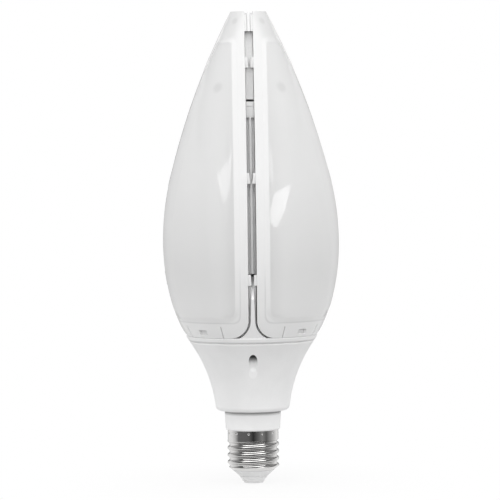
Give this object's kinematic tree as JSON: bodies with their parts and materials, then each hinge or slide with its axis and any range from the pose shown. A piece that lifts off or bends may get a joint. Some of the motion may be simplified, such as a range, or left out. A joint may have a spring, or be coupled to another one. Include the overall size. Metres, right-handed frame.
{
  "type": "industrial led bulb",
  "caption": "Bud shaped LED lamp with translucent petals round an open aluminium core, a funnel driver housing and an E27 screw cap.",
  "frame": {"origin": "middle of the centre contact's flat face, at the foot of the cap", "axes": "+Z along the lamp's axis from the cap to the tip; the gaps between petals face +X, -X, +Y and -Y, and the picture looks along +Y"},
  "size_m": [0.0894, 0.0894, 0.24],
  "materials": {
    "petal_diffuser": "milky translucent moulding",
    "housing_white": "smooth white moulding",
    "base_white": "smooth white moulding",
    "crown_white": "smooth white moulding",
    "spider_white": "smooth white moulding",
    "nickel": "bright nickel plate",
    "contact_metal": "satin tin plate",
    "insulator_white": "plain white",
    "core_aluminium": "extruded, satin",
    "screw_steel": "zinc plated",
    "board_white": "white solder mask",
    "led_phosphor": "yellow phosphor",
    "circuit_board": "green solder mask",
    "transformer_tape": "yellow tape",
    "component_black": "moulded black",
    "film_capacitor": "dipped red brown",
    "capacitor_sleeve": "dark sleeve",
    "ferrite": "sintered grey",
    "terminal_plastic": "white",
    "lead_live": "red sleeve",
    "lead_neutral": "black sleeve",
    "lead_led": "white sleeve"
  },
  "bodies": {
    "root": {"cap_shell": "nickel", "centre_contact": "contact_metal", "cap_insulator": "insulator_white", "driver_housing": "housing_white", "petal_base": "base_white", "crown": "crown_white", "upper_spider": "spider_white", "heat_sink_core": "core_aluminium", "board_screws": "screw_steel", "housing_screws": "screw_steel", "driver_board": "circuit_board", "driver_transformer": "transformer_tape", "driver_rectifier": "component_black", "driver_controller": "component_black", "driver_film_capacitor": "film_capacitor", "driver_capacitor": "capacitor_sleeve", "driver_choke": "ferrite", "output_terminal": "terminal_plastic", "live_lead": "lead_live", "neutral_lead": "lead_neutral", "led_leads": "lead_led", "petal_rear_right": "petal_diffuser", "led_board_rear_right": "board_white", "led_chips_rear_right": "led_phosphor", "petal_rear_left": "petal_diffuser", "led_board_rear_left": "board_white", "led_chips_rear_left": "led_phosphor", "petal_front_left": "petal_diffuser", "led_board_front_left": "board_white", "led_chips_front_left": "led_phosphor", "petal_front_right": "petal_diffuser", "led_board_front_right": "board_white", "led_chips_front_right": "led_phosphor"}
  },
  "joints": []
}
